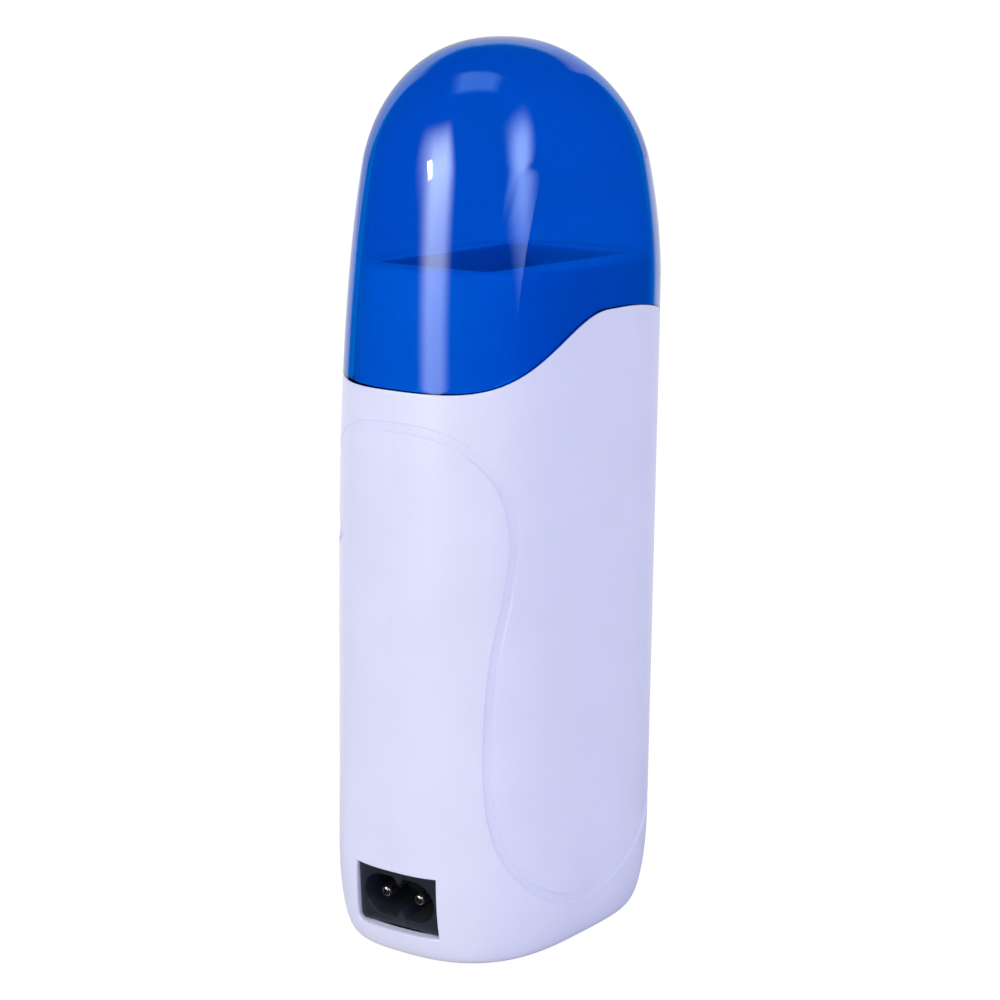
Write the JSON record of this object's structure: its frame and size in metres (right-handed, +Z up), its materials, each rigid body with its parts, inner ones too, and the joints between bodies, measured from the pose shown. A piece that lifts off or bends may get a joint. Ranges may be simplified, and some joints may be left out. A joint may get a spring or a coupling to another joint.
{
  "type": "roll on wax heater",
  "caption": "Handheld warmer for a roll-on wax cartridge: moulded half shells round a heated cup, a mains inlet at the foot and a translucent domed cap over the neck.",
  "frame": {"origin": "centre of the base, on the surface that the heater stands on, in the plane where the half shells meet", "axes": "+Z up along the height, +X along the width away from the mains inlet, +Y through the broad rear face, so the front shell is at -Y"},
  "size_m": [0.0755, 0.051, 0.1875],
  "materials": {
    "housing_white": "gloss",
    "cap_blue": "clear gloss",
    "neck_white": "satin",
    "cup_aluminium": "satin",
    "tile_ceramic": "matt",
    "electrode_brass": "satin",
    "film_amber": "satin",
    "sheet_steel": "brushed",
    "thermostat_case": "matt",
    "fuse_case": "satin",
    "sleeve_white": "matt",
    "screw_steel": "zinc plated",
    "inlet_dark": "satin",
    "pin_nickel": "nickel plated",
    "tag_brass": "satin",
    "lead_brown": "satin",
    "lead_white": "satin",
    "lead_blue": "satin"
  },
  "bodies": {
    "heater": {"front_shell": "housing_white", "rear_shell": "housing_white", "neck_collar": "neck_white", "heater_cup": "cup_aluminium", "ptc_tiles": "tile_ceramic", "inner_electrode": "electrode_brass", "outer_electrode": "electrode_brass", "insulation_film": "film_amber", "clamp_plate": "sheet_steel", "thermostat": "thermostat_case", "thermal_fuse": "fuse_case", "fuse_sleeve": "sleeve_white", "sensor_strap": "sheet_steel", "heater_screws": "screw_steel", "collar_screws": "screw_steel", "shell_screws": "screw_steel", "inlet_body": "inlet_dark", "inlet_pins": "pin_nickel", "inlet_terminals": "tag_brass", "live_lead": "lead_brown", "link_lead": "lead_white", "heater_lead": "lead_white", "neutral_lead": "lead_blue"},
    "lid": {"cap": "cap_blue"}
  },
  "joints": [
    {"name": "cap_lift", "type": "slide", "parent": "heater", "child": "lid", "axis": [0, 0, 1], "range_m": [0, 0.06]}
  ]
}
